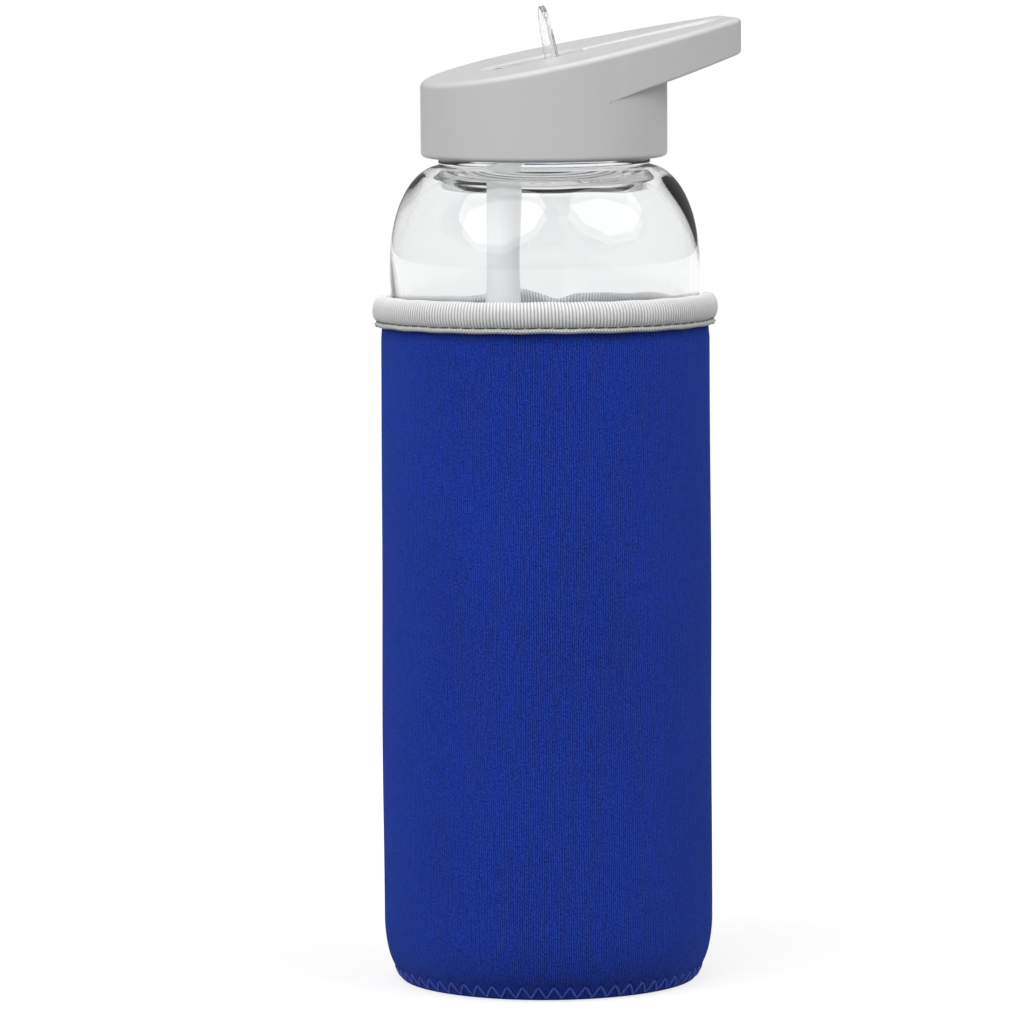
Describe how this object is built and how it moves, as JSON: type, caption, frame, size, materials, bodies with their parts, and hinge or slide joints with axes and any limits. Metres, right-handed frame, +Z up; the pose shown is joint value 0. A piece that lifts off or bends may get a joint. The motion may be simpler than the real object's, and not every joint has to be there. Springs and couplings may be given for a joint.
{
  "type": "glass water bottle",
  "caption": "Glass water bottle in a blue neoprene sleeve with grey rim tape, and a grey screw lid with a beak-shaped handle, clear flip spout and straw.",
  "frame": {"origin": "centre of the sleeve's flat underside, on the bottle's axis", "axes": "+Z up along the bottle's axis, +X towards the tip of the lid's beak, +Y completes a right-handed frame"},
  "size_m": [0.0881, 0.0826, 0.2336],
  "materials": {
    "neoprene": "matt royal blue knit over foam rubber",
    "grosgrain": "light grey ribbed tape",
    "grey_thread": "grey sewing thread",
    "blue_thread": "blue sewing thread",
    "clear_glass": "clear soda-lime glass, faintly green at the edges",
    "lid_plastic": "satin light grey polypropylene",
    "liner_plastic": "natural off-white polypropylene",
    "silicone": "milky white silicone rubber",
    "spout_plastic": "clear moulded plastic",
    "straw_plastic": "milky translucent polypropylene"
  },
  "bodies": {
    "sleeve": {"sleeve_wall": "neoprene", "sleeve_base": "neoprene", "rim_binding": "grosgrain", "binding_thread": "grey_thread", "base_seam_thread": "blue_thread", "back_seam_thread": "blue_thread"},
    "bottle": {"glass_bottle": "clear_glass"},
    "gasket": {"lid_gasket": "silicone"},
    "vent": {"air_valve": "silicone"},
    "lid": {"lid_shell": "lid_plastic", "lid_liner": "liner_plastic", "spout_seal": "silicone"},
    "spout": {"flip_spout": "spout_plastic"},
    "straw": {"straw": "straw_plastic"}
  },
  "joints": [
    {"name": "bottle_slide", "type": "slide", "parent": "sleeve", "child": "bottle", "axis": [0, 0, 1], "range_m": [0, 0.17]},
    {"name": "lid_lift", "type": "slide", "parent": "bottle", "child": "gasket", "axis": [0, 0, 1], "range_m": [0, 0.2]},
    {"name": "lid_rise", "type": "slide", "parent": "gasket", "child": "vent", "axis": [0, 0, 1], "range_m": [0, 0.0091]},
    {"name": "lid_turn", "type": "hinge", "parent": "vent", "child": "lid", "pos_m": [0, 0, 0.2], "axis": [0, 0, 1], "range_deg": [0, 720]},
    {"name": "spout_flip", "type": "hinge", "parent": "lid", "child": "spout", "pos_m": [-0.01, 0, 0.21505], "axis": [0, -1, 0], "range_deg": [0, 80]},
    {"name": "straw_pull", "type": "slide", "parent": "lid", "child": "straw", "axis": [0, 0, -1], "range_m": [0, 0.008]}
  ],
  "couplings": [
    {"joint": "lid_rise", "follows": "lid_turn", "m_per_rad": 0.0007162}
  ]
}
